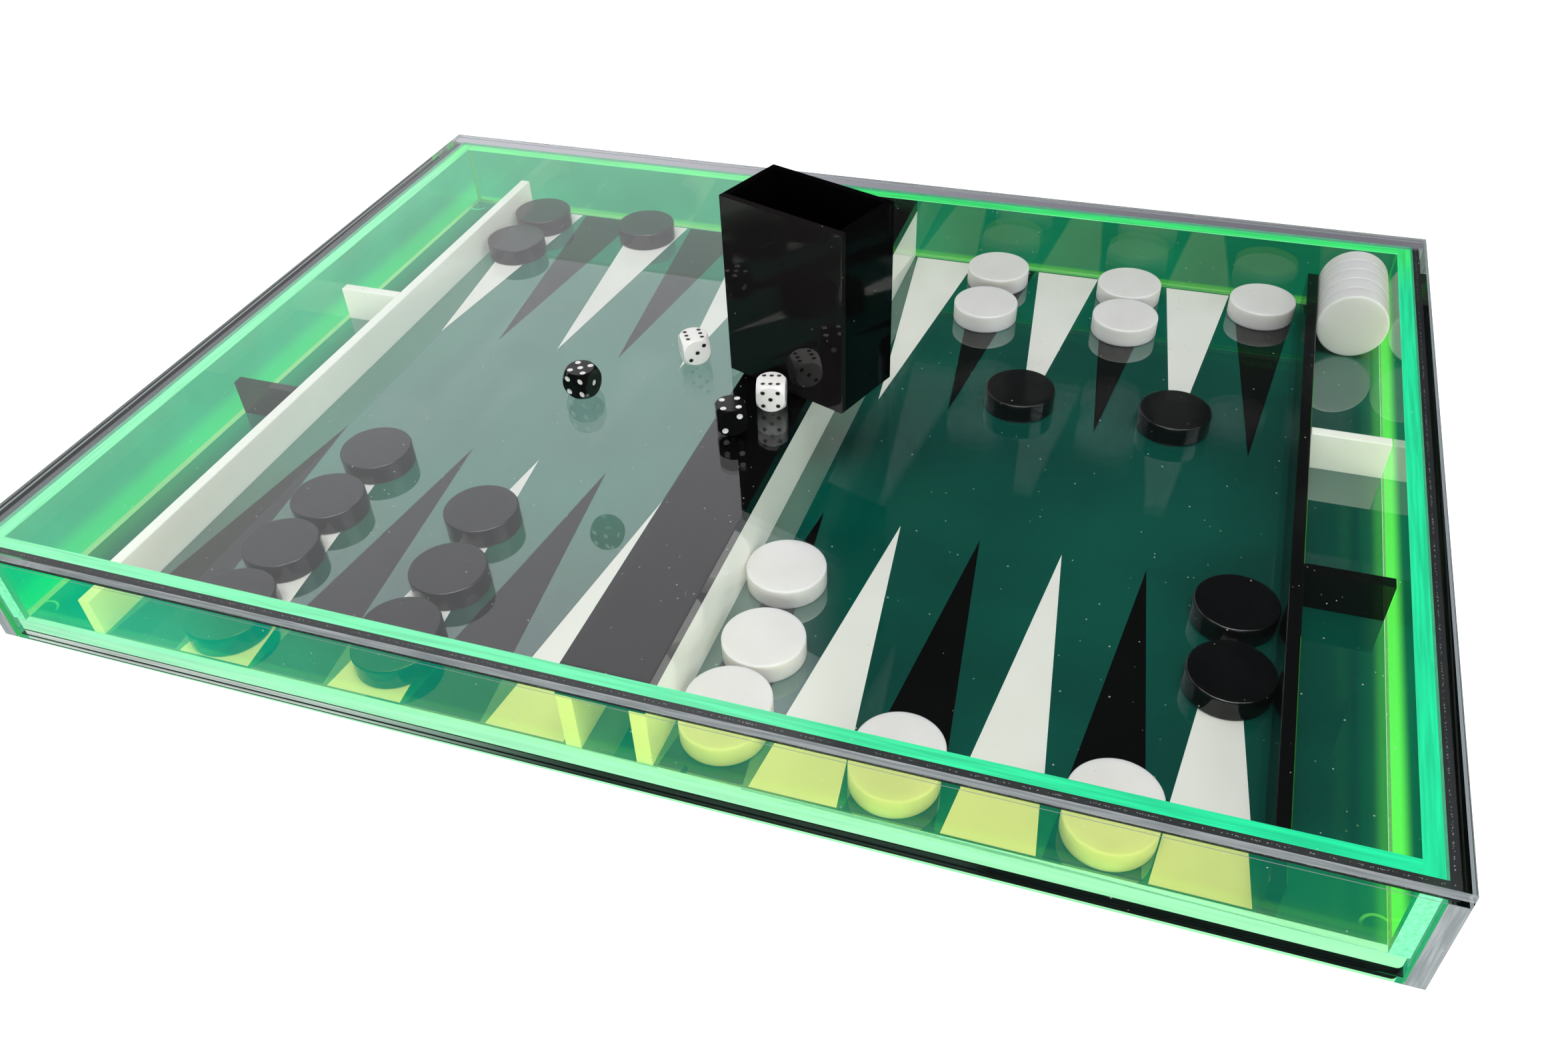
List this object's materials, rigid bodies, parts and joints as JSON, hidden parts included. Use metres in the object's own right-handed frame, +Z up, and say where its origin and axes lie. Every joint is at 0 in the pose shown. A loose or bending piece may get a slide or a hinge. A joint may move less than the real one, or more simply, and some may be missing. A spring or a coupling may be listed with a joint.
{
  "type": "backgammon set",
  "caption": "Acrylic backgammon set: shallow neon-green board tray with bar and side troughs, clear lift-off lid, loose checkers, dice and an open throwing cup on top.",
  "frame": {"origin": "middle of the closed lid's footprint, on the surface the set stands on", "axes": "+X to the right side of the set, along its longest side; -Y towards its front; +Z up through the lid"},
  "size_m": [0.53, 0.389, 0.127],
  "materials": {
    "neon_wall": "polished",
    "neon_floor": "polished",
    "clear_acrylic": "polished",
    "black_acrylic": "polished",
    "white_acrylic": "polished",
    "black_inlay": "polished",
    "white_inlay": "polished",
    "black_checker": "satin",
    "white_checker": "satin",
    "black_die": "polished",
    "white_die": "polished",
    "cup_acrylic": "polished"
  },
  "bodies": {
    "tray": {"base_sheet": "black_acrylic", "feet": "clear_acrylic", "tray_floor": "neon_floor", "points_white": "white_inlay", "points_black": "black_inlay", "tray_wall_left": "neon_wall", "tray_wall_right": "neon_wall", "tray_wall_front": "neon_wall", "tray_wall_back": "neon_wall", "bar_wall_left": "white_acrylic", "bar_wall_right": "white_acrylic", "bar_plate": "black_acrylic", "divider_left": "white_acrylic", "divider_right": "black_acrylic", "partitions_white": "white_acrylic", "partitions_black": "black_acrylic"},
    "lid": {"lid_top": "clear_acrylic", "lid_wall_left": "clear_acrylic", "lid_wall_right": "clear_acrylic", "lid_wall_front": "clear_acrylic", "lid_wall_back": "clear_acrylic"},
    "cup": {"cup_bottom": "cup_acrylic", "cup_side_left": "cup_acrylic", "cup_side_right": "cup_acrylic", "cup_front": "cup_acrylic", "cup_back": "cup_acrylic"},
    "die_black_a": {"die_black_a": "black_die"},
    "die_black_b": {"die_black_b": "black_die"},
    "die_white_a": {"die_white_a": "white_die"},
    "die_white_b": {"die_white_b": "white_die"},
    "checker_black_01": {"checker_black_01": "black_checker"},
    "checker_black_02": {"checker_black_02": "black_checker"},
    "checker_black_03": {"checker_black_03": "black_checker"},
    "checker_black_04": {"checker_black_04": "black_checker"},
    "checker_black_05": {"checker_black_05": "black_checker"},
    "checker_black_06": {"checker_black_06": "black_checker"},
    "checker_black_07": {"checker_black_07": "black_checker"},
    "checker_black_08": {"checker_black_08": "black_checker"},
    "checker_black_09": {"checker_black_09": "black_checker"},
    "checker_black_10": {"checker_black_10": "black_checker"},
    "checker_black_11": {"checker_black_11": "black_checker"},
    "checker_black_12": {"checker_black_12": "black_checker"},
    "checker_black_13": {"checker_black_13": "black_checker"},
    "checker_black_14": {"checker_black_14": "black_checker"},
    "checker_black_15": {"checker_black_15": "black_checker"},
    "checker_white_01": {"checker_white_01": "white_checker"},
    "checker_white_02": {"checker_white_02": "white_checker"},
    "checker_white_03": {"checker_white_03": "white_checker"},
    "checker_white_04": {"checker_white_04": "white_checker"},
    "checker_white_05": {"checker_white_05": "white_checker"},
    "checker_white_06": {"checker_white_06": "white_checker"},
    "checker_white_07": {"checker_white_07": "white_checker"},
    "checker_white_08": {"checker_white_08": "white_checker"},
    "checker_white_09": {"checker_white_09": "white_checker"},
    "checker_white_10": {"checker_white_10": "white_checker"},
    "checker_white_11": {"checker_white_11": "white_checker"},
    "checker_white_12": {"checker_white_12": "white_checker"},
    "checker_white_13": {"checker_white_13": "white_checker"},
    "checker_white_14": {"checker_white_14": "white_checker"},
    "checker_white_15": {"checker_white_15": "white_checker"}
  },
  "joints": [
    {"name": "lid_lift", "type": "slide", "parent": "tray", "child": "lid", "axis": [0, 0, 1], "range_m": [0, 0.07]},
    {"name": "cup_lift", "type": "slide", "parent": "lid", "child": "cup", "axis": [0, 0, 1], "range_m": [0, 0.06]},
    {"name": "die_black_a_lift", "type": "slide", "parent": "lid", "child": "die_black_a", "axis": [0, 0, 1], "range_m": [0, 0.04]},
    {"name": "die_black_b_lift", "type": "slide", "parent": "lid", "child": "die_black_b", "axis": [0, 0, 1], "range_m": [0, 0.04]},
    {"name": "die_white_a_lift", "type": "slide", "parent": "lid", "child": "die_white_a", "axis": [0, 0, 1], "range_m": [0, 0.04]},
    {"name": "die_white_b_lift", "type": "slide", "parent": "lid", "child": "die_white_b", "axis": [0, 0, 1], "range_m": [0, 0.04]},
    {"name": "checker_black_01_lift", "type": "slide", "parent": "tray", "child": "checker_black_01", "axis": [0, 0, 1], "range_m": [0, 0.0235]},
    {"name": "checker_black_02_lift", "type": "slide", "parent": "tray", "child": "checker_black_02", "axis": [0, 0, 1], "range_m": [0, 0.0235]},
    {"name": "checker_black_03_lift", "type": "slide", "parent": "tray", "child": "checker_black_03", "axis": [0, 0, 1], "range_m": [0, 0.0235]},
    {"name": "checker_black_04_lift", "type": "slide", "parent": "tray", "child": "checker_black_04", "axis": [0, 0, 1], "range_m": [0, 0.0235]},
    {"name": "checker_black_05_lift", "type": "slide", "parent": "tray", "child": "checker_black_05", "axis": [0, 0, 1], "range_m": [0, 0.0235]},
    {"name": "checker_black_06_lift", "type": "slide", "parent": "tray", "child": "checker_black_06", "axis": [0, 0, 1], "range_m": [0, 0.0235]},
    {"name": "checker_black_07_lift", "type": "slide", "parent": "tray", "child": "checker_black_07", "axis": [0, 0, 1], "range_m": [0, 0.0235]},
    {"name": "checker_black_08_lift", "type": "slide", "parent": "tray", "child": "checker_black_08", "axis": [0, 0, 1], "range_m": [0, 0.0235]},
    {"name": "checker_black_09_lift", "type": "slide", "parent": "tray", "child": "checker_black_09", "axis": [0, 0, 1], "range_m": [0, 0.0235]},
    {"name": "checker_black_10_lift", "type": "slide", "parent": "tray", "child": "checker_black_10", "axis": [0, 0, 1], "range_m": [0, 0.0235]},
    {"name": "checker_black_11_lift", "type": "slide", "parent": "tray", "child": "checker_black_11", "axis": [0, 0, 1], "range_m": [0, 0.0235]},
    {"name": "checker_black_12_lift", "type": "slide", "parent": "tray", "child": "checker_black_12", "axis": [0, 0, 1], "range_m": [0, 0.0235]},
    {"name": "checker_black_13_lift", "type": "slide", "parent": "tray", "child": "checker_black_13", "axis": [0, 0, 1], "range_m": [0, 0.0235]},
    {"name": "checker_black_14_lift", "type": "slide", "parent": "tray", "child": "checker_black_14", "axis": [0, 0, 1], "range_m": [0, 0.0235]},
    {"name": "checker_black_15_lift", "type": "slide", "parent": "tray", "child": "checker_black_15", "axis": [0, 0, 1], "range_m": [0, 0.0235]},
    {"name": "checker_white_01_lift", "type": "slide", "parent": "tray", "child": "checker_white_01", "axis": [0, 0, 1], "range_m": [0, 0.0235]},
    {"name": "checker_white_02_lift", "type": "slide", "parent": "tray", "child": "checker_white_02", "axis": [0, 0, 1], "range_m": [0, 0.0235]},
    {"name": "checker_white_03_lift", "type": "slide", "parent": "tray", "child": "checker_white_03", "axis": [0, 0, 1], "range_m": [0, 0.0235]},
    {"name": "checker_white_04_lift", "type": "slide", "parent": "tray", "child": "checker_white_04", "axis": [0, 0, 1], "range_m": [0, 0.0235]},
    {"name": "checker_white_05_lift", "type": "slide", "parent": "tray", "child": "checker_white_05", "axis": [0, 0, 1], "range_m": [0, 0.0235]},
    {"name": "checker_white_06_lift", "type": "slide", "parent": "tray", "child": "checker_white_06", "axis": [0, 0, 1], "range_m": [0, 0.0235]},
    {"name": "checker_white_07_lift", "type": "slide", "parent": "tray", "child": "checker_white_07", "axis": [0, 0, 1], "range_m": [0, 0.0235]},
    {"name": "checker_white_08_lift", "type": "slide", "parent": "tray", "child": "checker_white_08", "axis": [0, 0, 1], "range_m": [0, 0.0235]},
    {"name": "checker_white_09_lift", "type": "slide", "parent": "tray", "child": "checker_white_09", "axis": [0, 0, 1], "range_m": [0, 0.0235]},
    {"name": "checker_white_10_lift", "type": "slide", "parent": "tray", "child": "checker_white_10", "axis": [0, 0, 1], "range_m": [0, 0.0235]},
    {"name": "checker_white_11_slide", "type": "slide", "parent": "tray", "child": "checker_white_11", "axis": [0, -1, 0], "range_m": [0, 0.016]},
    {"name": "checker_white_12_slide", "type": "slide", "parent": "checker_white_11", "child": "checker_white_12", "axis": [0, -1, 0], "range_m": [0, 0.016]},
    {"name": "checker_white_13_slide", "type": "slide", "parent": "checker_white_12", "child": "checker_white_13", "axis": [0, -1, 0], "range_m": [0, 0.016]},
    {"name": "checker_white_14_slide", "type": "slide", "parent": "checker_white_13", "child": "checker_white_14", "axis": [0, -1, 0], "range_m": [0, 0.016]},
    {"name": "checker_white_15_slide", "type": "slide", "parent": "checker_white_14", "child": "checker_white_15", "axis": [0, -1, 0], "range_m": [0, 0.016]}
  ]
}
